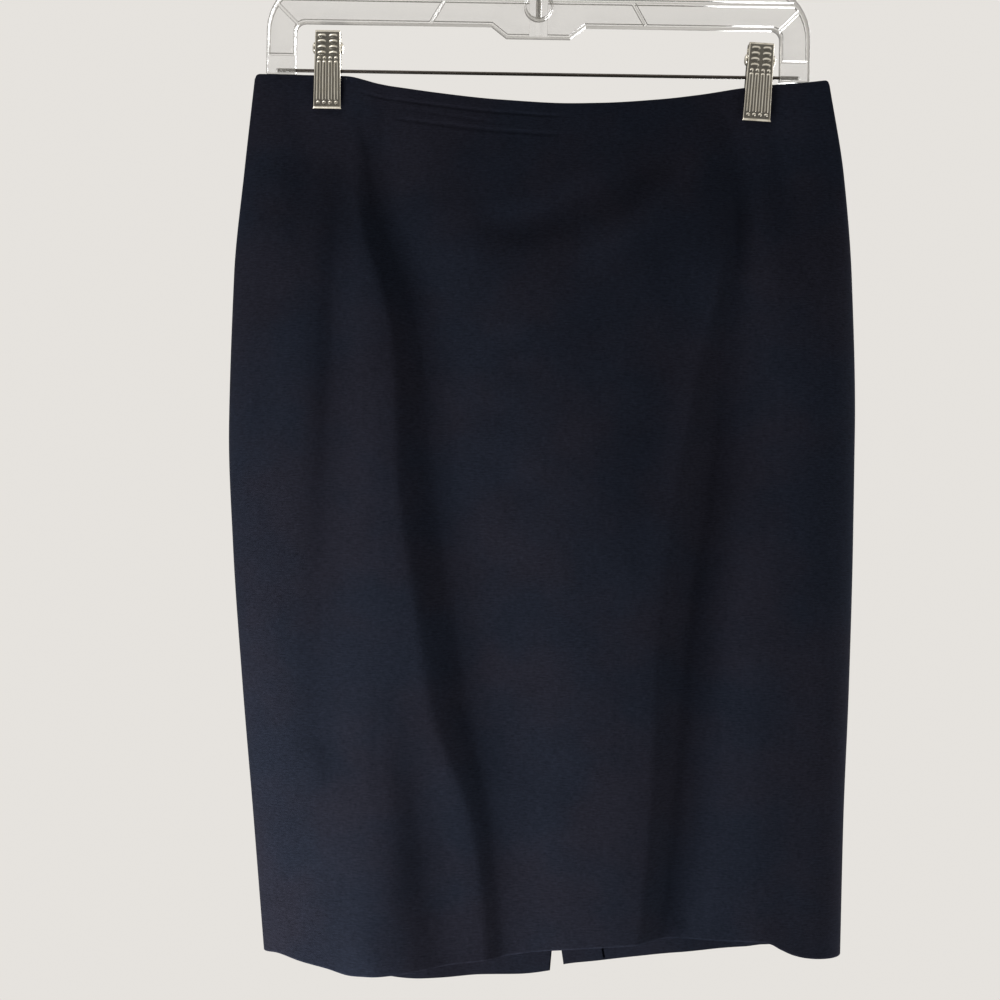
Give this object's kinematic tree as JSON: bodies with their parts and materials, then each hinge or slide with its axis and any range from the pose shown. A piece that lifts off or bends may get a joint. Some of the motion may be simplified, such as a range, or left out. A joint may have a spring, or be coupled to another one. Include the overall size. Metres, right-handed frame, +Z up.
{
  "type": "pencil skirt on a clip hanger",
  "caption": "Straight knee-length navy pencil skirt with a back vent and a zip, held at the waist by the spring clips of a clear plastic hanger with a steel wire hook.",
  "frame": {"origin": "inner top of the hanger's hook, where a rail carries it, on the hook wire's middle plane", "axes": "+Z up along the hook's stem; the front of the skirt faces -Y and the centre back seam, vent and zip +Y; +X to the right of a viewer who faces the front"},
  "size_m": [0.4117, 0.099, 0.7387],
  "materials": {
    "navy_suiting": "fine plain weave, matt",
    "clear_plastic": "clear, glossy",
    "nickel_steel": "nickel plated",
    "navy_enamel": "satin enamel"
  },
  "bodies": {
    "skirt_and_hanger": {"front_panel": "navy_suiting", "back_panel_left": "navy_suiting", "back_panel_right": "navy_suiting", "vent_facing": "navy_suiting", "hanger_frame": "clear_plastic", "hanger_rod": "nickel_steel", "hanger_hook": "nickel_steel", "clip_left_front_jaw": "nickel_steel", "clip_left_back_jaw": "nickel_steel", "clip_left_spring": "nickel_steel", "clip_left_pin": "nickel_steel", "clip_right_front_jaw": "nickel_steel", "clip_right_back_jaw": "nickel_steel", "clip_right_spring": "nickel_steel", "clip_right_pin": "nickel_steel", "zip_slider": "navy_enamel"},
    "pull_tab": {"zip_pull": "navy_enamel"}
  },
  "joints": [
    {"name": "pull_hinge", "type": "hinge", "parent": "skirt_and_hanger", "child": "pull_tab", "pos_m": [0.00335, 0.01721, -0.16845], "axis": [1, 0, 0], "range_deg": [0, 150]}
  ]
}
